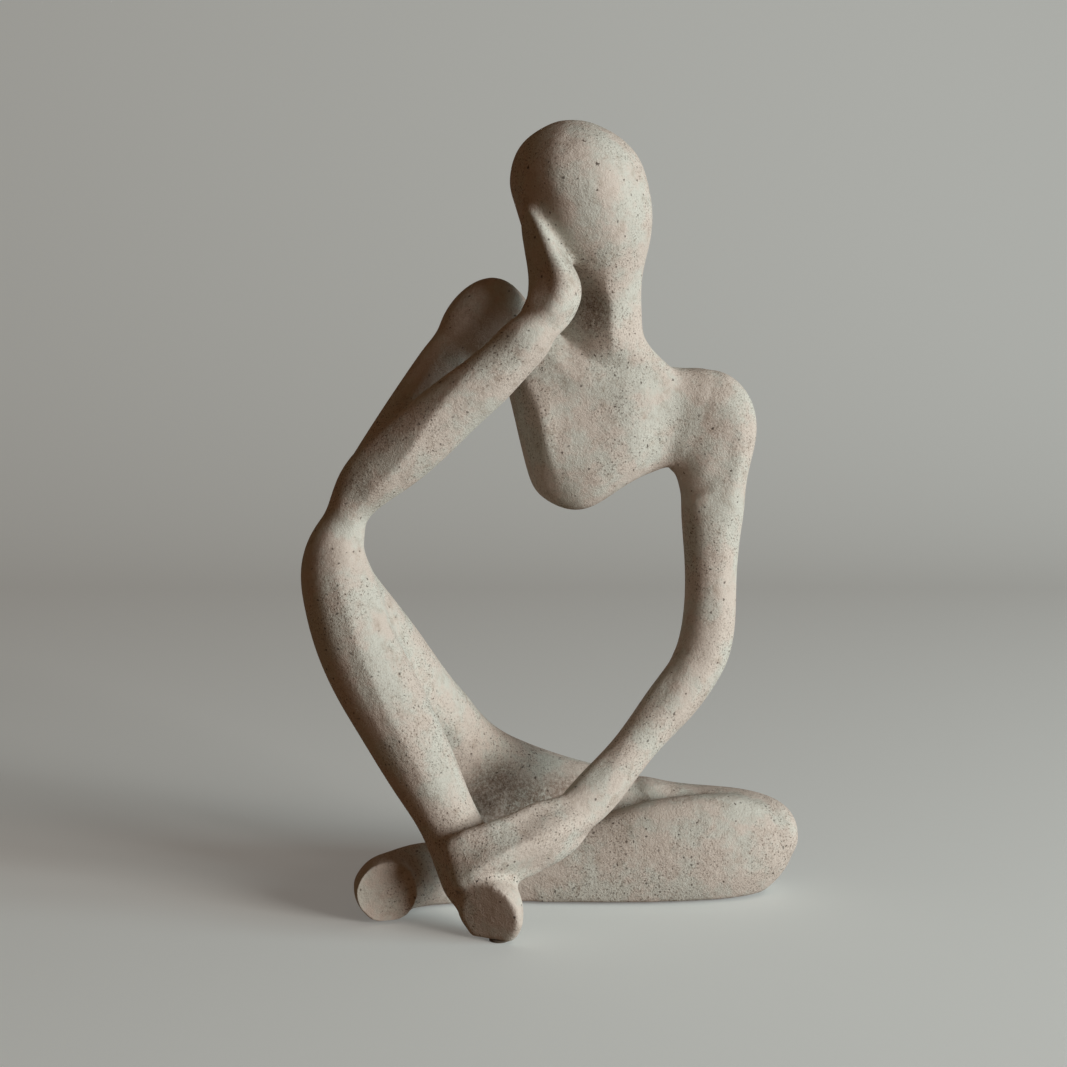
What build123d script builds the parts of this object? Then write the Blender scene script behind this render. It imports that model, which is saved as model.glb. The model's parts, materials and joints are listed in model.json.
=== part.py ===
from build123d import *
import os
from math import copysign, cos, radians, sin

# A seated abstract figure in sandstone-look resin, millimetres.
# X runs across the figure, Y from its front to its back, Z up from the surface it rests on.
# It is cast as limbs, pinned with steel dowels and bonded. Left and right are the figure's own.

# Driving dimensions of the whole pose
figure_width = 160.0
figure_depth = 90.0
figure_height = 250.0

# Driving thicknesses of the castings
head_girth = 44.0
arm_girth = 18.0
torso_thickness = 25.0
seat_thickness = 30.0
thigh_girth = 26.0
raised_shin_girth = 24.0
folded_shin_girth = 22.0

# Dowels and felt pads
dowel_diameter = 3.0
dowel_length = 14.0
short_dowel_length = 8.0
dowel_chamfer = 0.4
dowel_clearance = 0.1
felt_thickness = 0.8
pad_diameter = 12.0
foot_pad_diameter = 6.0

# How far the torso is turned towards the figure's left, in degrees
torso_turn = 12

# How far the blunt end of the planted foot is turned to the figure's right and tipped down, in degrees
foot_end_turn = 27
foot_end_tip = 10
foot_turn_shares = [1.0, 0.5]

# Steps in a quarter of one section, and how square the sections are (2 is an ellipse, less has ridges)
quarter_steps = 3
round_section = 2
slab_section = 2.8
hand_section = 1.4

# The pose. Each limb row is: place across, place in depth, height, width in the front view, depth.
# Places are shares of the figure's width, depth and height, widths are shares of the limb's girth.
# A row of a hand has one more number: how far the ridge along its front leans sideways, as a share of its depth.
head_shares = [
    (0.103, 0.111, 0.736, 0.490, 0.46),
    (0.108, 0.100, 0.772, 0.430, 0.45),
    (0.090, 0.083, 0.804, 0.575, 0.58),
    (0.064, 0.067, 0.840, 0.850, 0.82),
    (0.053, 0.056, 0.882, 0.965, 0.98),
    (0.043, 0.050, 0.910, 0.985, 1.01),
    (0.038, 0.050, 0.937, 0.930, 0.97),
    (0.034, 0.050, 0.960, 0.790, 0.83),
    (0.031, 0.050, 0.977, 0.570, 0.60),
    (0.029, 0.050, 0.989, 0.310, 0.33),
    (0.028, 0.050, 0.993, 0.100, 0.10),
]
neck_stub_shares = [
    (0.115, 0.139, 0.640, 1.15, 0.45),
    (0.112, 0.128, 0.690, 0.80, 0.45),
    (0.106, 0.118, 0.710, 0.61, 0.47),
    (0.103, 0.111, 0.736, 0.490, 0.46),
]
right_upper_arm_shares = [
    (-0.399, -0.067, 0.524, 0.81, 0.78),
    (-0.352, 0.000, 0.564, 0.97, 0.92),
    (-0.284, 0.083, 0.630, 1.01, 0.97),
]
left_arm_shares = [
    (0.314, 0.144, 0.450, 0.99, 1.00),
    (0.312, 0.122, 0.386, 0.93, 0.94),
    (0.299, 0.089, 0.326, 0.96, 0.96),
    (0.282, 0.068, 0.302, 0.95, 0.95),
    (0.259, 0.044, 0.280, 0.91, 0.93),
    (0.184, -0.033, 0.227, 0.79, 0.83),
    (0.119, -0.122, 0.184, 0.77, 0.78),
    (0.061, -0.206, 0.150, 0.82, 0.76),
    (0.006, -0.283, 0.126, 1.02, 0.82, 0.00),
    (-0.062, -0.347, 0.110, 1.14, 0.88, 0.00),
    (-0.125, -0.393, 0.099, 1.14, 0.84, 0.05),
    (-0.168, -0.411, 0.093, 1.08, 0.76, 0.30),
    (-0.195, -0.418, 0.089, 0.94, 0.62, 0.55),
    (-0.209, -0.420, 0.087, 0.60, 0.34, 0.70),
]
raised_shin_shares = [
    (-0.131, -0.490, 0.037, 0.82, 0.82),
    (-0.129, -0.433, 0.039, 0.86, 0.84),
    (-0.151, -0.360, 0.062, 0.89, 0.86),
    (-0.183, -0.278, 0.094, 0.84, 0.84),
    (-0.217, -0.233, 0.133, 0.79, 0.81),
    (-0.250, -0.217, 0.173, 0.88, 0.85),
    (-0.283, -0.200, 0.212, 0.96, 0.90),
    (-0.321, -0.183, 0.256, 1.01, 0.94),
    (-0.358, -0.167, 0.298, 1.04, 0.98),
    (-0.396, -0.144, 0.350, 1.04, 1.00),
    (-0.422, -0.122, 0.404, 1.00, 1.00),
    (-0.435, -0.106, 0.442, 0.88, 0.90),
    (-0.430, -0.100, 0.472, 0.71, 0.73),
    (-0.414, -0.100, 0.498, 0.57, 0.58),
]
right_forearm_shares = [
    (-0.395, -0.100, 0.527, 0.86, 0.86),
    (-0.338, -0.111, 0.564, 1.08, 0.94),
    (-0.258, -0.122, 0.607, 1.11, 0.97),
    (-0.187, -0.133, 0.647, 1.03, 0.92),
    (-0.143, -0.139, 0.670, 0.97, 0.89),
    (-0.089, -0.139, 0.703, 0.89, 0.86),
    (-0.051, -0.137, 0.729, 0.82, 0.84),
    (-0.023, -0.128, 0.753, 0.84, 0.88, -0.10),
    (-0.006, -0.106, 0.780, 0.92, 0.98, -0.25),
    (-0.019, -0.083, 0.814, 0.72, 1.06, -0.25),
    (-0.040, -0.072, 0.852, 0.53, 0.90, -0.20),
    (-0.056, -0.072, 0.878, 0.30, 0.54, -0.15),
    (-0.061, -0.072, 0.887, 0.12, 0.18, -0.10),
]
raised_thigh_shares = [
    (-0.425, -0.094, 0.432, 0.69, 0.69),
    (-0.412, -0.061, 0.392, 0.92, 0.92),
    (-0.362, 0.006, 0.336, 1.00, 0.98),
    (-0.305, 0.083, 0.278, 0.98, 1.00),
]
folded_shin_shares = [
    (0.483, 0.094, 0.080, 0.26, 0.22),
    (0.470, 0.091, 0.079, 0.70, 0.54),
    (0.442, 0.084, 0.073, 1.10, 0.82),
    (0.400, 0.074, 0.066, 1.48, 0.98),
    (0.350, 0.062, 0.058, 1.72, 1.08),
    (0.287, 0.050, 0.051, 1.84, 1.12),
    (0.200, 0.042, 0.042, 1.86, 1.12),
    (0.110, 0.038, 0.030, 1.72, 1.08),
    (-0.031, 0.034, 0.024, 1.38, 0.98),
    (-0.150, 0.017, 0.026, 1.23, 0.84),
    (-0.225, -0.028, 0.032, 1.05, 0.80),
    (-0.281, -0.083, 0.038, 0.95, 0.80),
    (-0.325, -0.152, 0.037, 0.91, 0.80),
    (-0.350, -0.220, 0.037, 0.87, 0.77),
    (-0.358, -0.262, 0.037, 0.68, 0.62),
    (-0.360, -0.282, 0.036, 0.36, 0.34),
]
# Each rib row is: outer point, inner point, thickness. The points are shares of width, depth and height.
torso_shares = [
    ((-0.266, 0.133, 0.711), (-0.165, 0.133, 0.676), 0.72),
    ((-0.231, 0.139, 0.746), (-0.141, 0.139, 0.678), 0.80),
    ((-0.188, 0.139, 0.784), (-0.119, 0.139, 0.674), 0.88),
    ((-0.131, 0.139, 0.800), (-0.103, 0.139, 0.668), 0.92),
    ((-0.078, 0.139, 0.782), (-0.087, 0.139, 0.640), 0.96),
    ((-0.031, 0.137, 0.754), (-0.066, 0.134, 0.580), 0.99),
    ((0.019, 0.132, 0.732), (-0.041, 0.124, 0.528), 1.00),
    ((0.062, 0.127, 0.720), (0.006, 0.116, 0.507), 1.02),
    ((0.106, 0.127, 0.710), (0.062, 0.115, 0.507), 1.04),
    ((0.150, 0.137, 0.702), (0.119, 0.124, 0.529), 1.02),
    ((0.200, 0.162, 0.692), (0.169, 0.154, 0.546), 0.90),
    ((0.250, 0.176, 0.685), (0.206, 0.173, 0.555), 0.82),
    ((0.312, 0.170, 0.682), (0.231, 0.170, 0.553), 0.82),
    ((0.375, 0.161, 0.660), (0.247, 0.161, 0.540), 0.84),
    ((0.400, 0.161, 0.620), (0.252, 0.161, 0.526), 0.82),
    ((0.391, 0.158, 0.568), (0.254, 0.158, 0.516), 0.81),
    ((0.381, 0.156, 0.512), (0.253, 0.156, 0.512), 0.80),
]
seat_shares = [
    ((-0.178, 0.161, 0.251), (-0.316, 0.161, 0.193), 0.93),
    ((-0.123, 0.222, 0.206), (-0.281, 0.222, 0.110), 1.03),
    ((-0.087, 0.256, 0.190), (-0.231, 0.256, 0.000), 1.17),
    ((-0.050, 0.278, 0.178), (-0.125, 0.278, -0.060), 1.23),
    ((0.019, 0.283, 0.162), (0.000, 0.283, -0.080), 1.23),
    ((0.094, 0.267, 0.150), (0.094, 0.267, -0.080), 1.17),
    ((0.163, 0.244, 0.139), (0.163, 0.244, -0.080), 1.07),
    ((0.250, 0.206, 0.133), (0.250, 0.206, -0.070), 1.03),
    ((0.344, 0.167, 0.131), (0.348, 0.167, -0.050), 0.97),
    ((0.412, 0.133, 0.127), (0.405, 0.133, -0.014), 0.87),
    ((0.458, 0.111, 0.117), (0.447, 0.111, 0.016), 0.73),
    ((0.484, 0.100, 0.102), (0.479, 0.100, 0.044), 0.50),
    ((0.494, 0.094, 0.084), (0.493, 0.094, 0.064), 0.22),
]
# The webs fill the inside of the bent elbow and of the bent knee.
elbow_web_shares = [
    ((-0.375, -0.050, 0.538), (-0.381, -0.105, 0.538), 0.56),
    ((-0.352, 0.000, 0.564), (-0.338, -0.111, 0.564), 0.60),
    ((-0.319, 0.041, 0.596), (-0.288, -0.119, 0.590), 0.60),
    ((-0.294, 0.070, 0.620), (-0.244, -0.124, 0.614), 0.52),
    ((-0.272, 0.094, 0.640), (-0.213, -0.130, 0.632), 0.36),
    ((-0.258, 0.108, 0.652), (-0.194, -0.133, 0.643), 0.16),
]
knee_web_shares = [
    ((-0.420, -0.070, 0.420), (-0.430, -0.116, 0.420), 0.77),
    ((-0.408, -0.055, 0.388), (-0.416, -0.128, 0.392), 0.92),
    ((-0.375, -0.011, 0.350), (-0.396, -0.144, 0.350), 0.96),
    ((-0.342, 0.033, 0.316), (-0.372, -0.158, 0.316), 0.88),
    ((-0.317, 0.067, 0.290), (-0.350, -0.170, 0.288), 0.69),
    ((-0.300, 0.089, 0.272), (-0.334, -0.178, 0.270), 0.42),
    ((-0.292, 0.100, 0.262), (-0.326, -0.181, 0.260), 0.19),
]
# The middle of the pose's box, which the figure is moved by, so that it stands over its own origin
middle_across_share = -0.003
middle_depth_share = -0.027

# Rows where two castings of one limb part, and where the torso's outline turns down into the arm
left_elbow_row = 3
folded_hip_row = 6
left_shoulder_row = 12

# The middles of the three dowels that lie away from the middle of a section
folded_hip_dowel_share = (0.163, 0.244, 0.060)
folded_knee_dowel_share = (0.300, 0.016, 0.060)
ankle_dowel_share = (-0.140, -0.394, 0.098)

# The middles of the felt pads
pelvis_pad_share = (0.000, 0.283, 0.000)
knee_pad_share = (0.325, 0.133, 0.000)
folded_foot_pad_share = (-0.306, -0.111, 0.000)
planted_foot_pad_share = (-0.112, -0.451, 0.000)

back = Vector(0, 1, 0)
upward = Vector(0, 0, 1)
across_limbs = Vector(1, 0, 0)
torso_back = back.rotate(Axis.Z, torso_turn)


def at(across_share, depth_share, height_share):
    """The real place of one point of the pose."""
    across = (across_share - middle_across_share) * figure_width
    depth = (depth_share - middle_depth_share) * figure_depth
    return Vector(across, depth, height_share * figure_height)


def rounded_outline(plane, wide, deep, squareness, lean=0):
    """One closed, soft section of four equal curves, drawn square to the limb."""
    steps = quarter_steps * 4
    points = []
    for step in range(steps + 1):
        turn = radians(360 * step / steps)
        across = copysign(abs(cos(turn)) ** (2 / squareness), cos(turn))
        along = copysign(abs(sin(turn)) ** (2 / squareness), sin(turn))
        points.append((across * wide / 2 + along * lean * deep / 2, along * deep / 2))
    headings = [(lean, 1), (-1, 0), (-lean, -1), (1, 0), (lean, 1)]
    with BuildSketch(plane) as outline:
        with BuildLine():
            for quarter in range(4):
                start = quarter * quarter_steps
                curve = points[start : start + quarter_steps + 1]
                Spline(curve, tangents=(headings[quarter], headings[quarter + 1]))
        make_face()
    return outline.sketch


def limb_planes(shares, heading=None):
    """The plane square to a limb at each row of its table."""
    places = [at(*row[:3]) for row in shares]
    planes = []
    for index, place in enumerate(places):
        before = places[max(index - 1, 0)]
        after = places[min(index + 1, len(places) - 1)]
        along = heading or (after - before).normalized()
        planes.append(Plane(origin=place, x_dir=along.cross(back), z_dir=along))
    return planes


def limb_sections(planes, shares, girth):
    """A limb's sections, one on each plane of its centre line."""
    outlines = []
    for plane, row in zip(planes, shares):
        wide_share, deep_share, *lean = row[3:]
        squareness = hand_section if lean else round_section
        outlines.append(rounded_outline(plane, girth * wide_share, girth * deep_share, squareness, *lean))
    return outlines


def rib_planes(shares, behind):
    """The plane through each rib of a broad casting."""
    planes = []
    for outer_share, inner_share, _ in shares:
        rib = at(*outer_share) - at(*inner_share)
        middle = (at(*outer_share) + at(*inner_share)) / 2
        planes.append(Plane(origin=middle, x_dir=rib, z_dir=rib.cross(-behind)))
    return planes


def rib_sections(planes, shares, thickness, squareness):
    """A broad casting's sections, each drawn between two points of its outline."""
    outlines = []
    for plane, (outer_share, inner_share, thick) in zip(planes, shares):
        width = (at(*outer_share) - at(*inner_share)).length
        outlines.append(rounded_outline(plane, width, thickness * thick, squareness))
    return outlines


head_planes = limb_planes(head_shares, upward)
neck_stub_planes = limb_planes(neck_stub_shares, upward)
torso_planes = rib_planes(torso_shares, torso_back)
left_arm_planes = limb_planes(left_arm_shares)
right_upper_arm_planes = limb_planes(right_upper_arm_shares)
right_forearm_planes = limb_planes(right_forearm_shares)
raised_shin_planes = limb_planes(raised_shin_shares)
raised_thigh_planes = limb_planes(raised_thigh_shares)
folded_shin_planes = limb_planes(folded_shin_shares)
seat_planes = rib_planes(seat_shares, back)
elbow_web_planes = rib_planes(elbow_web_shares, across_limbs)
knee_web_planes = rib_planes(knee_web_shares, across_limbs)

# The first sections of the planted foot turn step by step, so that it ends in a slanting blunt face.
for index, turn_share in enumerate(foot_turn_shares):
    along = back.rotate(Axis.X, foot_end_tip * turn_share).rotate(Axis.Z, -foot_end_turn * turn_share)
    place = raised_shin_planes[index].origin
    raised_shin_planes[index] = Plane(origin=place, x_dir=upward.cross(along), z_dir=along)

head_sections = limb_sections(head_planes, head_shares, head_girth)
neck_stub_sections = limb_sections(neck_stub_planes, neck_stub_shares, head_girth)
torso_sections = rib_sections(torso_planes, torso_shares, torso_thickness, slab_section)
left_arm_sections = limb_sections(left_arm_planes, left_arm_shares, arm_girth)
right_upper_arm_sections = limb_sections(right_upper_arm_planes, right_upper_arm_shares, arm_girth)
right_forearm_sections = limb_sections(right_forearm_planes, right_forearm_shares, arm_girth)
raised_shin_sections = limb_sections(raised_shin_planes, raised_shin_shares, raised_shin_girth)
raised_thigh_sections = limb_sections(raised_thigh_planes, raised_thigh_shares, thigh_girth)
folded_shin_sections = limb_sections(folded_shin_planes, folded_shin_shares, folded_shin_girth)
seat_sections = rib_sections(seat_planes, seat_shares, seat_thickness, round_section)
elbow_web_sections = rib_sections(elbow_web_planes, elbow_web_shares, torso_thickness, slab_section)
knee_web_sections = rib_sections(knee_web_planes, knee_web_shares, thigh_girth, slab_section)

# Each dowel lies along the limb, half in each of the two castings that meet there.
dowels = {
    "neck_dowel": (head_planes[0], dowel_length),
    "right_shoulder_dowel": (torso_planes[0], dowel_length),
    "left_shoulder_dowel": (torso_planes[-1], dowel_length),
    "left_elbow_dowel": (left_arm_planes[left_elbow_row], dowel_length),
    "raised_hip_dowel": (seat_planes[0], dowel_length),
    "folded_hip_dowel": (Plane(at(*folded_hip_dowel_share), z_dir=across_limbs), dowel_length),
    "elbow_on_knee_dowel": (raised_shin_planes[-1], dowel_length),
    "folded_knee_dowel": (Plane(at(*folded_knee_dowel_share), z_dir=back), short_dowel_length),
    "hand_on_ankle_dowel": (Plane(at(*ankle_dowel_share), z_dir=back), short_dowel_length),
}
pads = {
    "pelvis_pad": (pelvis_pad_share, pad_diameter),
    "knee_pad": (knee_pad_share, pad_diameter),
    "folded_foot_pad": (folded_foot_pad_share, foot_pad_diameter),
    "planted_foot_pad": (planted_foot_pad_share, foot_pad_diameter),
}

with BuildPart() as dowel_holes:
    for plane, length in dowels.values():
        with Locations(plane):
            Cylinder(dowel_diameter / 2 + dowel_clearance, length + 2 * dowel_clearance)

with BuildPart() as head:
    loft(head_sections)
    add(dowel_holes.part, mode=Mode.SUBTRACT)

with BuildPart() as torso:
    loft(torso_sections[: left_shoulder_row + 1])
    loft(torso_sections[left_shoulder_row:])
    loft(neck_stub_sections)
    add(dowel_holes.part, mode=Mode.SUBTRACT)

with BuildPart() as raised_leg:
    loft(raised_shin_sections)
    loft(raised_thigh_sections + seat_sections[:1])
    loft(knee_web_sections)
    split(bisect_by=Plane.XY.offset(felt_thickness), keep=Keep.TOP)
    add(dowel_holes.part, mode=Mode.SUBTRACT)

with BuildPart() as right_arm:
    loft(raised_shin_sections[-1:] + right_forearm_sections)
    loft(right_upper_arm_sections + torso_sections[:1])
    loft(elbow_web_sections)
    add(head.part, mode=Mode.SUBTRACT)
    add(dowel_holes.part, mode=Mode.SUBTRACT)

with BuildPart() as left_upper_arm:
    loft(torso_sections[-1:] + left_arm_sections[: left_elbow_row + 1])
    add(dowel_holes.part, mode=Mode.SUBTRACT)

with BuildPart() as left_forearm:
    loft(left_arm_sections[left_elbow_row:])
    add(raised_leg.part, mode=Mode.SUBTRACT)
    add(dowel_holes.part, mode=Mode.SUBTRACT)

with BuildPart() as pelvis:
    loft(seat_sections[: folded_hip_row + 1])
    split(bisect_by=Plane.XY.offset(felt_thickness), keep=Keep.TOP)
    add(dowel_holes.part, mode=Mode.SUBTRACT)

with BuildPart() as folded_thigh:
    loft(seat_sections[folded_hip_row:])
    split(bisect_by=Plane.XY.offset(felt_thickness), keep=Keep.TOP)
    add(dowel_holes.part, mode=Mode.SUBTRACT)

with BuildPart() as folded_shin:
    loft(folded_shin_sections)
    split(bisect_by=Plane.XY.offset(felt_thickness), keep=Keep.TOP)
    add(folded_thigh.part, mode=Mode.SUBTRACT)
    add(raised_leg.part, mode=Mode.SUBTRACT)
    add(pelvis.part, mode=Mode.SUBTRACT)
    add(dowel_holes.part, mode=Mode.SUBTRACT)

pieces = {
    "head": head,
    "torso": torso,
    "right_arm": right_arm,
    "left_upper_arm": left_upper_arm,
    "left_forearm": left_forearm,
    "pelvis": pelvis,
    "raised_leg": raised_leg,
    "folded_thigh": folded_thigh,
    "folded_shin": folded_shin,
}

for name, (plane, length) in dowels.items():
    with BuildPart(plane) as dowel:
        Cylinder(dowel_diameter / 2, length)
        chamfer(dowel.edges().filter_by(GeomType.CIRCLE), dowel_chamfer)
    pieces[name] = dowel

for name, (place_share, diameter) in pads.items():
    with BuildPart(Plane(at(*place_share))) as pad:
        Cylinder(diameter / 2, felt_thickness, align=(Align.CENTER, Align.CENTER, Align.MIN))
    pieces[name] = pad

os.makedirs("parts", exist_ok=True)
for name, piece in pieces.items():
    piece.part.label = name
    export_step(piece.part, f"parts/{name}.step")
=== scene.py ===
# %% [markdown]
# # A seated stone-look figure
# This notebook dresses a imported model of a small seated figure. The castings, their dowels and the felt pads come
# from the frame, at their real size and place. What is made here is the skin: one soft, continuous surface with a
# sand-textured finish, cut again where one casting meets the next. Everything is in metres.

import json
from math import cos, radians, sin

import bmesh
import bpy
import numpy as np
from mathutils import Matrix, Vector
from mathutils.bvhtree import BVHTree

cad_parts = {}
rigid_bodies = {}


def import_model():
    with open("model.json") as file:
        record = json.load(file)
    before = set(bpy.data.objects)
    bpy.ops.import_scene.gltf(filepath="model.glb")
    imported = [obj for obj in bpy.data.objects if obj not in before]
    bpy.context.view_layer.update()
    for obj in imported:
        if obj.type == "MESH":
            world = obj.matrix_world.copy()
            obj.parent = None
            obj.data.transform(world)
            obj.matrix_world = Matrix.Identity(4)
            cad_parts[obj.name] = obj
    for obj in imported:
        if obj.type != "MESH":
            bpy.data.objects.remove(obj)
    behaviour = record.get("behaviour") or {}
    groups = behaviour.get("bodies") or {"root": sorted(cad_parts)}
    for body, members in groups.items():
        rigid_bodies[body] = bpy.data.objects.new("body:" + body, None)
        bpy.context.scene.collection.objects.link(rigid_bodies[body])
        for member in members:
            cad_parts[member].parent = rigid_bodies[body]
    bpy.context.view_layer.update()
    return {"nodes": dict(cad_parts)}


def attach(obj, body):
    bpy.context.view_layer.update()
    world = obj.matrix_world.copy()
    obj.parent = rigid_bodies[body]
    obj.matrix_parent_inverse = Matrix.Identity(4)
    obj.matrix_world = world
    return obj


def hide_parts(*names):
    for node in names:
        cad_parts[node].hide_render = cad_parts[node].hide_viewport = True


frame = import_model()

MM = 0.001
castings = [
    "head", "torso", "right_arm", "left_upper_arm", "left_forearm",
    "pelvis", "raised_leg", "folded_thigh", "folded_shin",
]

# %% [markdown]
# ## The camera
# The figure was photographed from the front with a long lens, a little above its middle and tipped down slightly.
# A camera can be placed by eye or from the size of things in the picture. This one is placed by its real height and
# distance, because then the heights of the feet and of the head agree with the picture at the same time.

# %% Camera
camera_place = Vector((-7.02, -569.55, 185.0)) * MM
camera_tip_down = 6.56
camera_lens = 61.17

bpy.ops.object.select_all(action="DESELECT")
bpy.ops.object.camera_add(location=camera_place, rotation=(radians(90 - camera_tip_down), 0, 0))
camera = bpy.context.object
camera.name = "camera"
camera.data.lens = camera_lens
camera.data.sensor_width = 36
camera.data.clip_start = 0.01
bpy.context.scene.camera = camera

# %% [markdown]
# ## One skin from all the castings
# On the real figure the castings are bonded, their seams are filled and the whole is coated, so no seam shows. A
# voxel remesh does the same: copies of the castings are joined, and one closed surface is drawn round them. Holes
# for the dowels leave small closed surfaces inside, so only the outer one is kept.

# %% Join and remesh
voxel = 0.8 * MM
merge_distance = 0.001 * MM


def use(piece):
    """Makes one piece the only selected and active one."""
    bpy.ops.object.select_all(action="DESELECT")
    piece.select_set(True)
    bpy.context.view_layer.objects.active = piece


def start_edit(piece, action):
    """Opens one piece for editing, with all of its mesh selected or none of it."""
    use(piece)
    bpy.ops.object.mode_set(mode="EDIT")
    bpy.ops.mesh.select_all(action=action)


def apply_modifier(piece, kind, **settings):
    """Adds one modifier to a piece and applies it at once."""
    use(piece)
    bpy.ops.object.modifier_add(type=kind)
    modifier = piece.modifiers[-1]
    for key, value in settings.items():
        setattr(modifier, key, value)
    bpy.ops.object.modifier_apply(modifier=modifier.name)


def casting_copy(node):
    """A copy of a casting's solid with its loose triangles merged."""
    copy = bpy.data.objects.new(node + "_copy", frame["nodes"][node].data.copy())
    bpy.context.scene.collection.objects.link(copy)
    start_edit(copy, "SELECT")
    bpy.ops.mesh.remove_doubles(threshold=merge_distance)
    bpy.ops.object.mode_set(mode="OBJECT")
    return copy


copies = [casting_copy(node) for node in castings]
points = [np.array([v.co for v in copy.data.vertices]) for copy in copies]
trees = [
    BVHTree.FromPolygons([v.co for v in copy.data.vertices], [face.vertices for face in copy.data.polygons])
    for copy in copies
]
bpy.ops.object.select_all(action="DESELECT")
for copy in copies:
    copy.select_set(True)
bpy.context.view_layer.objects.active = copies[0]
bpy.ops.object.join()
skin = bpy.context.object
skin.name = "skin"
apply_modifier(skin, "REMESH", mode="VOXEL", voxel_size=voxel, adaptivity=0)

start_edit(skin, "DESELECT")
edit = bmesh.from_edit_mesh(skin.data)
max(edit.verts, key=lambda v: v.co.z).select_set(True)
edit.select_flush(True)
bmesh.update_edit_mesh(skin.data)
bpy.ops.mesh.select_linked()
bpy.ops.mesh.select_all(action="INVERT")
bpy.ops.mesh.delete(type="VERT")
bpy.ops.object.mode_set(mode="OBJECT")
print("skin", len(skin.data.polygons), "faces")

# %% [markdown]
# ## Soft joints
# Filler leaves a soft fillet where two castings meet. Each point of the skin is measured against all nine castings:
# where the second nearest one is also near, the skin is at a joint and is smoothed more than elsewhere.

# %% Smooth the skin
joint_reach = 5 * MM
label_reach = 12 * MM
smooth_share = 0.5
passes_everywhere = 6
passes_at_joints = 30


def reaches(place, reach):
    """The castings near a place, the nearest one first, each with its distance."""
    found = []
    for column, tree in enumerate(trees):
        distance = tree.find_nearest(place, reach)[3]
        if distance is not None:
            found.append((distance, column))
    return sorted(found)


apply_modifier(skin, "SMOOTH", factor=smooth_share, iterations=passes_everywhere)
group = skin.vertex_groups.new(name="joints")
for vertex in skin.data.vertices:
    near = reaches(vertex.co, joint_reach)
    if len(near) > 1:
        group.add([vertex.index], 1 - near[1][0] / joint_reach, "REPLACE")
apply_modifier(skin, "SMOOTH", factor=smooth_share, iterations=passes_at_joints, vertex_group="joints")

# %% [markdown]
# ## Ridges and flats
# The sculptor drew soft ridges along the limbs, which decide where the light breaks. They could be cut into the
# solids, but a ridge that fades out at both ends is a modeller's stroke, so it is made like one. A stroke is a line
# of points in millimetres, each with a height. The skin near it is moved by that height, less and less with
# distance. Most strokes draw out a ridge, one widens the neck's side and one presses a hollow beside the hip. A flat
# presses the end of a limb onto one plane.

# %% Strokes and flats
front = np.array((0.0, -1.0, 0.0))
figure_back = -front
figure_right = np.array((-1.0, 0.0, 0.0))
passes_after_strokes = 2
# Each stroke: the castings that it may touch, its direction, how far it reaches, and its points with their heights
strokes = {
    "neck ridge": (("head", "torso"), front, 8, [
        (18.0, 2.6, 174, 0.0), (17.6, 2.5, 180, 1.6), (17.4, 2.3, 190, 1.8), (16.0, 0.5, 197, 1.4),
        (15.0, -8, 209, 0.0)]),
    "neck side": (("head", "torso"), figure_right, 11, [
        (7.0, 10.5, 178, 4.0), (6.8, 10.5, 184, 6.0), (7.2, 10.0, 190, 5.0), (7.6, 9.0, 195, 2.0)]),
    "hip hollow": (("pelvis", "raised_leg"), figure_back, 20, [
        (-30, 8, 45, 2.0), (-25, 10, 37, 4.5), (-16, 12, 30, 4.0), (-6, 13, 27, 1.0)]),
    "chest edge": (("torso", "head"), front, 26, [
        (-8.0, 3.0, 166, 1.6), (-5.0, 2.3, 157, 2.5), (-2.4, 2.2, 146, 2.6), (0.5, 2.9, 137, 1.8)]),
    "forearm ridge": (("right_arm", "raised_leg"), front, 10, [
        (-61, -14.0, 128, 0.6), (-55, -15.5, 135, 1.8), (-46, -16.8, 145, 2.1), (-38, -17.2, 157, 1.9),
        (-29, -16.5, 168, 1.3), (-19, -15.0, 179, 0.0)]),
    "hand ridge": (("left_forearm",), front, 7, [
        (-31, -38.0, 18.0, 0.5), (-25, -41.0, 22.5, 1.6), (-15.3, -38.7, 28.1, 2.0), (-7.5, -35.4, 30.9, 1.8),
        (0.4, -31.8, 33.0, 1.2), (8.0, -26.0, 38.0, 0.0)]),
    "shin ridge": (("raised_leg", "right_arm"), front, 8, [
        (-69, -16.5, 118, 0.0), (-67, -19.0, 108, 0.8), (-61, -22.5, 88, 0.9), (-52, -25.0, 68, 0.9),
        (-41, -27.2, 48, 0.8), (-35.5, -28.0, 36, 0.0)]),
}
# Each flat: the castings that it may touch, its middle, its direction and how far it reaches
flats = {"folded foot end": (("folded_shin",), (-57, -24.0, 10.0), (0.27, -0.96, 0.05), 15)}
# A flat leaves alone what looks away from it, and what lies more than its depth in front of it or behind it
flat_turn = -0.45
flat_turn_fade = 0.35
flat_depth = 9
flat_depth_fade = 4


def skin_state():
    """The places and the directions of all the skin's points, in millimetres."""
    places = np.array([v.co for v in skin.data.vertices]) / MM
    directions = np.array([v.normal for v in skin.data.vertices])
    return places, directions


def belongs(place, nodes):
    """Whether a point of the skin lies on one of some castings."""
    return castings[reaches(Vector(place) * MM, label_reach)[0][1]] in nodes


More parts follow.
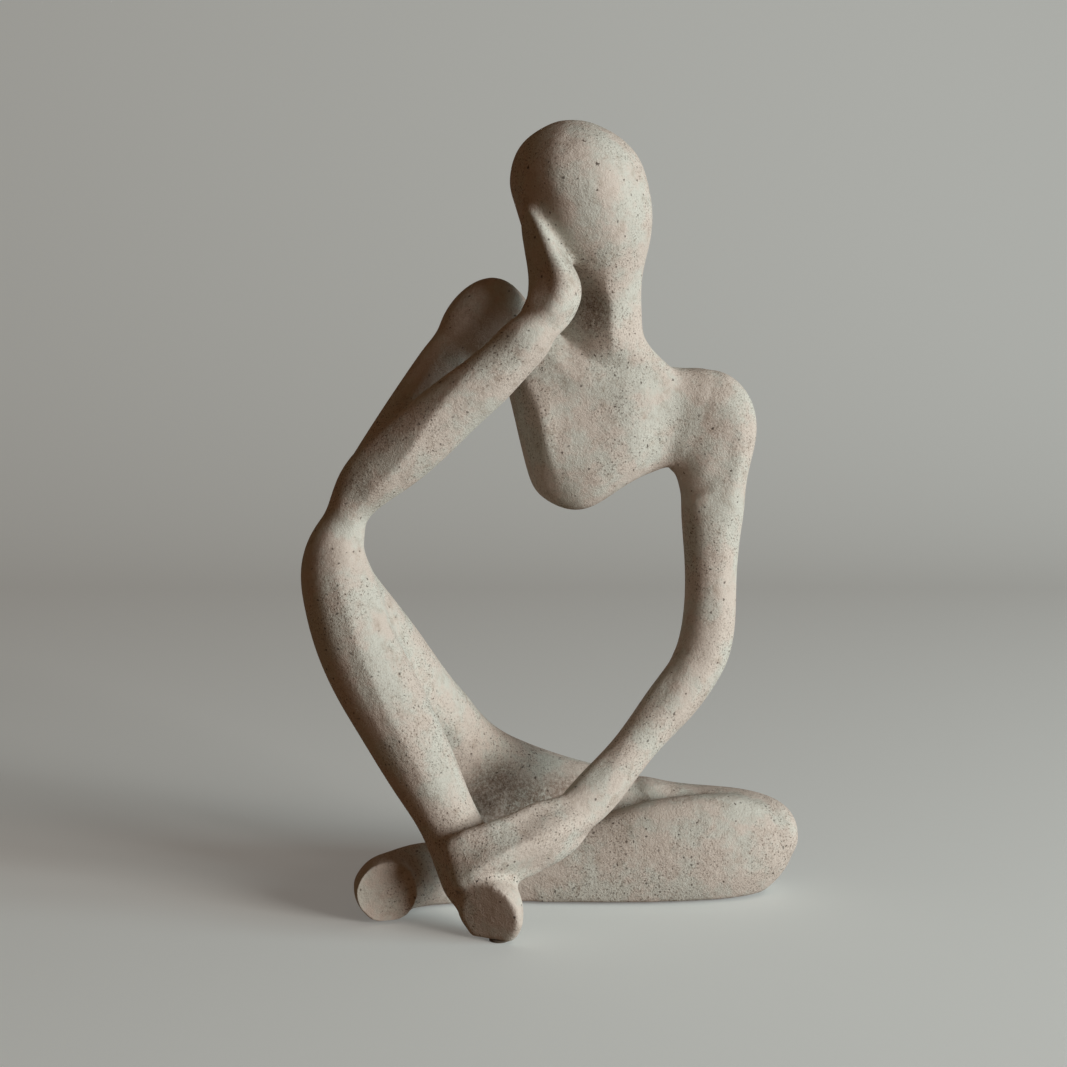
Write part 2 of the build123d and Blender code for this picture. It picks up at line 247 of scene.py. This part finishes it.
for name, (nodes, heading, reach, line) in strokes.items():
    places, directions = skin_state()
    line = np.array(line, float)
    nearest = np.full(len(places), np.inf)
    height = np.zeros(len(places))
    for start, stop in zip(line, line[1:]):
        span = stop[:3] - start[:3]
        along = np.clip((places - start[:3]) @ span / (span @ span), 0, 1)
        distance = np.linalg.norm(places - start[:3] - along[:, None] * span, axis=1)
        closer = distance < nearest
        nearest[closer] = distance[closer]
        height[closer] = (start[3] + along * (stop[3] - start[3]))[closer]
    touched = [i for i in np.flatnonzero(nearest < reach) if belongs(places[i], nodes)]
    for i in touched:
        moved = places[i] + heading * height[i] * (1 - nearest[i] / reach) ** 2
        skin.data.vertices[i].co = Vector(moved) * MM
    print("stroke", name, len(touched), "points")

for name, (nodes, middle, heading, reach) in flats.items():
    places, directions = skin_state()
    middle = np.array(middle, float)
    heading = np.array(heading) / np.linalg.norm(heading)
    above = (places - middle) @ heading
    facing = np.clip((directions @ heading - flat_turn) / flat_turn_fade, 0, 1)
    share = facing * np.clip((flat_depth - np.abs(above)) / flat_depth_fade, 0, 1)
    near = np.linalg.norm(places - middle, axis=1) < reach
    touched = [i for i in np.flatnonzero(near & (share > 0)) if belongs(places[i], nodes)]
    for i in touched:
        skin.data.vertices[i].co = Vector(places[i] - heading * above[i] * share[i]) * MM
    print("flat", name, len(touched), "points")
skin.data.update()
apply_modifier(skin, "SMOOTH", factor=smooth_share, iterations=passes_after_strokes)

# %% [markdown]
# ## One piece for each casting
# The skin is cut where the castings meet. Flat joints get a straight cut first, on the plane of the ring of points
# that both castings share. Then each face goes to the casting that it lies on. Right at a flat joint two castings are
# equally near, and there the side of the plane decides, so the edge stays straight. Every open end is closed, and
# each point keeps the direction that it had on the whole skin, so the light runs over a seam without a break.

# %% Cut the skin
flat_joints = [
    ("head", "torso"), ("torso", "right_arm"), ("torso", "left_upper_arm"), ("left_upper_arm", "left_forearm"),
    ("raised_leg", "pelvis"), ("pelvis", "folded_thigh"), ("raised_leg", "right_arm"),
]
shared_gap = 0.02 * MM
cut_reach = 3 * MM
near_tie = 0.4 * MM
planes = {}


def joint_plane(first, other):
    """The middle, the normal and the radius of the flat ring that two castings share."""
    mine = points[castings.index(first)]
    tree = trees[castings.index(other)]
    ring = np.array([p for p in mine if (tree.find_nearest(Vector(p))[3] or 0) < shared_gap])
    middle = ring.mean(0)
    normal = np.linalg.svd(ring - middle, full_matrices=False)[2][2]
    flat = np.abs((ring - middle) @ normal).max()
    print(first, other, "joint of", len(ring), "points, flat to", round(flat / MM, 3), "mm")
    return Vector(middle), Vector(normal), float(np.linalg.norm(ring - middle, axis=1).max())


for first, other in flat_joints:
    middle, normal, radius = joint_plane(first, other)
    mine = points[castings.index(first)] - np.array(middle)
    beside = mine[np.linalg.norm(mine, axis=1) < radius + cut_reach]
    planes[first, other] = (middle, normal if (beside @ np.array(normal)).mean() > 0 else -normal)
    start_edit(skin, "DESELECT")
    edit = bmesh.from_edit_mesh(skin.data)
    for face in edit.faces:
        if (face.calc_center_median() - middle).length < radius + cut_reach:
            face.select_set(True)
    bmesh.update_edit_mesh(skin.data)
    bpy.ops.mesh.bisect(plane_co=middle, plane_no=normal)
    bpy.ops.object.mode_set(mode="OBJECT")


def owner(place):
    """The column of the casting that a face belongs to."""
    found = reaches(place, label_reach)
    if len(found) > 1 and found[1][0] - found[0][0] < near_tie:
        pair = {castings[found[0][1]], castings[found[1][1]]}
        for (first, other), (middle, normal) in planes.items():
            if pair == {first, other}:
                return castings.index(first if (place - middle).dot(normal) > 0 else other)
    return found[0][1]


for node in castings:
    skin.data.materials.append(bpy.data.materials.new("cut_" + node))
first_slot = len(skin.data.materials) - len(castings)
for face in skin.data.polygons:
    face.material_index = first_slot + owner(face.center)
normals = {tuple(v.co): v.normal.copy() for v in skin.data.vertices}
start_edit(skin, "SELECT")
bpy.ops.mesh.separate(type="MATERIAL")
bpy.ops.object.mode_set(mode="OBJECT")
shells = {}
for piece in list(bpy.context.selected_objects):
    slot_name = piece.material_slots[piece.data.polygons[0].material_index].material.name
    shells[slot_name.removeprefix("cut_")] = piece
print("shells", {name: len(piece.data.polygons) for name, piece in shells.items()})

# %% Close the ends
skins = {}
for node, piece in shells.items():
    start_edit(piece, "DESELECT")
    bpy.ops.mesh.select_mode(type="EDGE")
    bpy.ops.mesh.select_non_manifold()
    bpy.ops.mesh.fill(use_beauty=True)
    bpy.ops.mesh.select_all(action="SELECT")
    bpy.ops.mesh.normals_make_consistent(inside=False)
    bpy.ops.object.mode_set(mode="OBJECT")
    outward = [normals[tuple(v.co)] for v in piece.data.vertices]
    if sum(face.normal.dot(outward[face.vertices[0]]) for face in piece.data.polygons) < 0:
        piece.data.flip_normals()
    bpy.ops.object.shade_smooth()
    piece.data.normals_split_custom_set_from_vertices(outward)
    piece.data.materials.clear()
    piece.vertex_groups.clear()
    piece.name = node + "_skin"
    skins[node] = piece

# %% [markdown]
# ## The sandstone finish
# The coat is a matt paint with sand in it: warm beige, clouded with grey-green and pink, with fine dark and pale
# grains. Over it lies painted shade: a brown laid into the hollows of the hip, neck, chin and chest top and onto the
# shaded sides of the right shoulder, right forearm and raised knee. Each layer is a procedural texture on Object
# coordinates, so it runs on unbroken from piece to piece. A texture's scale is the number of its cells to the metre:
# 45 gives patches of about 22 mm, and 1700 gives grains of about 0.6 mm.

# %% Colours
def rgb(red, green, blue):
    """A colour as a screen shows it, from 0 to 255, turned into the linear values that Blender mixes."""
    linear = [((c / 255 + 0.055) / 1.055) ** 2.4 for c in (red, green, blue)]
    return (*linear, 1)


warm_sand = rgb(203, 193, 183)
cool_sand = rgb(199, 199, 190)
brown = rgb(150, 134, 118)
# The brown of the painted shade in the hollows and on the shaded sides
painted_shade_brown = rgb(98, 70, 48)
dark_grain = rgb(84, 64, 48)
pale_grain = rgb(226, 220, 208)
dark_speck = rgb(58, 44, 34)

# Where the painted shade lies: each place and its reach in millimetres, and its strength
painted_shade_places = [
    ((-19, 9, 32), 17, 0.75), ((-9, 12, 26), 17, 0.8), ((3, 14, 28), 16, 0.7), ((14, 10, 36), 12, 0.5),
    ((11, 3, 189), 10, 0.75), ((4, -6, 203), 12, 0.4), ((-24, 12, 189), 14, 0.4), ((0, 4, 172), 14, 0.35),
    ((-60, -10, 134), 10, 0.5), ((-50, -10, 147), 10, 0.5), ((-70, -14, 113), 8, 0.4),
]
# Each place of the painted shade is full up to this share of its reach
painted_shade_core = 0.3

# The larger specks: their scale, their size, the share of cells that have one, and their strength
large_specks = [(480, 0.24, 0.20, 0.75), (240, 0.12, 0.16, 0.85)]

# %% Texture steps
def noise(tree, place, scale, detail=2.0, roughness=0.5):
    """A noise texture on the piece's own coordinates."""
    texture = tree.nodes.new("ShaderNodeTexNoise")
    texture.inputs["Scale"].default_value = scale
    texture.inputs["Detail"].default_value = detail
    texture.inputs["Roughness"].default_value = roughness
    tree.links.new(place, texture.inputs["Vector"])
    return texture.outputs["Fac"]


def ramp(tree, value, low, high):
    """Turns a value into 0 below low and 1 above high."""
    spread = tree.nodes.new("ShaderNodeMapRange")
    spread.interpolation_type = "SMOOTHSTEP"
    spread.inputs["From Min"].default_value = low
    spread.inputs["From Max"].default_value = high
    tree.links.new(value, spread.inputs["Value"])
    return spread.outputs["Result"]


def blend(tree, amount, under, over):
    """Lays one colour over another."""
    mix = tree.nodes.new("ShaderNodeMix")
    mix.data_type = "RGBA"
    tree.links.new(amount, mix.inputs["Factor"])
    for socket, colour in ((mix.inputs["A"], under), (mix.inputs["B"], over)):
        if isinstance(colour, tuple):
            socket.default_value = colour
        else:
            tree.links.new(colour, socket)
    return mix.outputs["Result"]


def combine(tree, operation, first, second):
    """One step of arithmetic on two values."""
    result = tree.nodes.new("ShaderNodeMath")
    result.operation = operation
    for socket, value in zip(result.inputs, (first, second)):
        if isinstance(value, (int, float)):
            socket.default_value = value
        else:
            tree.links.new(value, socket)
    return result.outputs[0]


def specks(tree, place, scale, size, share):
    """Scattered specks of uneven shape: the middles of some cells of a bent Voronoi pattern."""
    bend = tree.nodes.new("ShaderNodeTexNoise")
    bend.inputs["Scale"].default_value = scale * 3
    tree.links.new(place, bend.inputs["Vector"])
    bent = tree.nodes.new("ShaderNodeMix")
    bent.data_type = "RGBA"
    bent.blend_type = "LINEAR_LIGHT"
    bent.inputs["Factor"].default_value = 0.25 / scale
    tree.links.new(place, bent.inputs["A"])
    tree.links.new(bend.outputs["Color"], bent.inputs["B"])
    cells = tree.nodes.new("ShaderNodeTexVoronoi")
    cells.inputs["Scale"].default_value = scale
    tree.links.new(bent.outputs["Result"], cells.inputs["Vector"])
    spot = ramp(tree, cells.outputs["Distance"], size, size * 0.5)
    split = tree.nodes.new("ShaderNodeSeparateColor")
    tree.links.new(cells.outputs["Color"], split.inputs["Color"])
    chosen = ramp(tree, split.outputs["Red"], 1 - share, 1 - share * 0.7)
    return combine(tree, "MULTIPLY", spot, chosen)


def painted_shade_cover(tree, place):
    """How strongly the painted brown shade covers each place, with a ragged edge."""
    total = 0.0
    for middle, reach, strength in painted_shade_places:
        distance = tree.nodes.new("ShaderNodeVectorMath")
        distance.operation = "DISTANCE"
        tree.links.new(place, distance.inputs[0])
        distance.inputs[1].default_value = Vector(middle) * MM
        spot = ramp(tree, distance.outputs["Value"], reach * MM, painted_shade_core * reach * MM)
        total = combine(tree, "MAXIMUM", combine(tree, "MULTIPLY", spot, strength), total)
    ragged = ramp(tree, noise(tree, place, 900, 4, 0.85), 0.30, 0.64)
    return combine(tree, "MULTIPLY", total, ragged)


def add_bump(tree, height, strength, depth, under=None):
    """Turns a texture into small dents, on top of those of another bump."""
    bump = tree.nodes.new("ShaderNodeBump")
    bump.inputs["Strength"].default_value = strength
    bump.inputs["Distance"].default_value = depth
    tree.links.new(height, bump.inputs["Height"])
    if under is not None:
        tree.links.new(under, bump.inputs["Normal"])
    return bump.outputs["Normal"]

# %% Sandstone material
def sandstone():
    """The finish of all the castings."""
    material = bpy.data.materials.new("sandstone")
    material.use_nodes = True
    tree = material.node_tree
    shader = tree.nodes["Principled BSDF"].inputs
    place = tree.nodes.new("ShaderNodeTexCoord").outputs["Object"]

    clouds = ramp(tree, noise(tree, place, 75, 4, 0.65), 0.42, 0.60)
    colour = blend(tree, clouds, warm_sand, cool_sand)
    mottle = ramp(tree, noise(tree, place, 240, 5, 0.7), 0.50, 0.74)
    colour = blend(tree, combine(tree, "MULTIPLY", mottle, 0.45), colour, brown)
    # Painted shade: brown laid over the hollows and the shaded sides
    colour = blend(tree, painted_shade_cover(tree, place), colour, painted_shade_brown)

    sand = noise(tree, place, 1700, 3, 0.75)
    zones = ramp(tree, noise(tree, place, 45, 3, 0.6), 0.34, 0.58)
    pepper = specks(tree, place, 900, 0.30, 0.36)
    dark = combine(tree, "MULTIPLY", ramp(tree, sand, 0.52, 0.68), zones)
    pale = combine(tree, "MULTIPLY", ramp(tree, sand, 0.46, 0.30), zones)
    colour = blend(tree, combine(tree, "MULTIPLY", dark, 0.8), colour, dark_grain)
    colour = blend(tree, combine(tree, "MULTIPLY", pale, 0.55), colour, pale_grain)
    for scale, size, share, strength in large_specks:
        spots = combine(tree, "MULTIPLY", specks(tree, place, scale, size, share), strength)
        colour = blend(tree, spots, colour, dark_speck)
    pepper = combine(tree, "MULTIPLY", combine(tree, "MULTIPLY", pepper, zones), 0.75)
    colour = blend(tree, pepper, colour, dark_speck)
    tree.links.new(colour, shader["Base Color"])
    shader["Roughness"].default_value = 0.95
    shader["Specular IOR Level"].default_value = 0.2

    rough = add_bump(tree, sand, 0.8, 0.35 * MM)
    uneven = add_bump(tree, noise(tree, place, 170, 4, 0.65), 0.5, 1.2 * MM, rough)
    tree.links.new(uneven, shader["Normal"])
    return material


stone = sandstone()
for node, piece in skins.items():
    piece.data.materials.append(stone)
    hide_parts(node)
    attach(piece, "root")

# %% [markdown]
# ## Felt and steel
# The pads under the figure and the dowels inside it keep their solids and only get a finish.

# %% Felt and steel materials
def plain(name, colour, roughness, metallic, scale, depth):
    """A material of one colour, broken up by fine noise in its tone and its surface."""
    material = bpy.data.materials.new(name)
    material.use_nodes = True
    tree = material.node_tree
    shader = tree.nodes["Principled BSDF"].inputs
    place = tree.nodes.new("ShaderNodeTexCoord").outputs["Object"]
    fibre = noise(tree, place, scale, 4, 0.7)
    darker = (*[c * 0.5 for c in colour[:3]], 1)
    tree.links.new(blend(tree, fibre, colour, darker), shader["Base Color"])
    shader["Roughness"].default_value = roughness
    shader["Metallic"].default_value = metallic
    tree.links.new(add_bump(tree, fibre, 1.0, depth), shader["Normal"])
    return material


finishes = {
    "_pad": plain("felt", rgb(112, 102, 90), 1.0, 0.0, 2500, 0.2 * MM),
    "_dowel": plain("dowel_steel", rgb(190, 190, 192), 0.35, 1.0, 4000, 0.02 * MM),
}
for name, piece in frame["nodes"].items():
    for ending, finish in finishes.items():
        if name.endswith(ending):
            piece.data.materials.clear()
            piece.data.materials.append(finish)

# %% [markdown]
# ## Floor and light
# The floor is one plain pale sheet that curves up behind the figure. Two large soft lamps stand to the right, a warm
# one in front and a cooler one further round the side, and a low, even world light fills the shadows.

# %% Floor and backdrop
floor_size = 3.2
floor_bend = 0.9
paper_colour = rgb(225, 231, 230)
bpy.ops.object.select_all(action="DESELECT")
bpy.ops.mesh.primitive_plane_add(size=floor_size, location=(0, 0, 0))
floor = bpy.context.object
floor.name = "floor"
start_edit(floor, "DESELECT")
edit = bmesh.from_edit_mesh(floor.data)
for edge in edit.edges:
    if all(v.co.y > 0 for v in edge.verts):
        edge.select_set(True)
bmesh.update_edit_mesh(floor.data)
bpy.ops.mesh.extrude_region_move(TRANSFORM_OT_translate={"value": (0, 0, floor_size)})
bpy.ops.object.mode_set(mode="OBJECT")
apply_modifier(floor, "BEVEL", width=floor_bend, segments=24, limit_method="ANGLE")
bpy.ops.object.shade_smooth()
paper = bpy.data.materials.new("paper")
paper.use_nodes = True
sheet = paper.node_tree.nodes["Principled BSDF"].inputs
sheet["Base Color"].default_value = paper_colour
sheet["Roughness"].default_value = 0.9
sheet["Specular IOR Level"].default_value = 0.2
sheet["Emission Color"].default_value = paper_colour
sheet["Emission Strength"].default_value = 0.15
floor.data.materials.append(paper)
floor.visible_diffuse = False

# %% Lights
aim = Vector((0, 0, 0.11))
lamp_distance = 1.6
lamp_size = 0.6
# Each lamp: its name, how far it is turned to the right of the front and raised in degrees, its watts and its colour
lamps = [
    ("key_light", 54, 10, 19.5, (1.0, 0.95, 0.90)),
    ("side_light", 73, 11, 12.5, (0.80, 0.97, 1.0)),
]
for name, turn, rise, watts, colour in lamps:
    turn, rise = radians(turn), radians(rise)
    place = aim + lamp_distance * Vector((sin(turn) * cos(rise), -cos(turn) * cos(rise), sin(rise)))
    bpy.ops.object.select_all(action="DESELECT")
    bpy.ops.object.light_add(type="AREA", location=place)
    lamp = bpy.context.object
    lamp.name = name
    lamp.data.size = lamp_size
    lamp.data.energy = watts
    lamp.data.color = colour
    lamp.rotation_euler = (aim - place).to_track_quat("-Z", "Y").to_euler()

world = bpy.data.worlds.new("studio")
bpy.context.scene.world = world
world.use_nodes = True
sky = world.node_tree.nodes["Background"].inputs
sky["Color"].default_value = (1.0, 0.56, 0.30, 1)
sky["Strength"].default_value = 0.085
bpy.context.scene.view_settings.view_transform = "Standard"
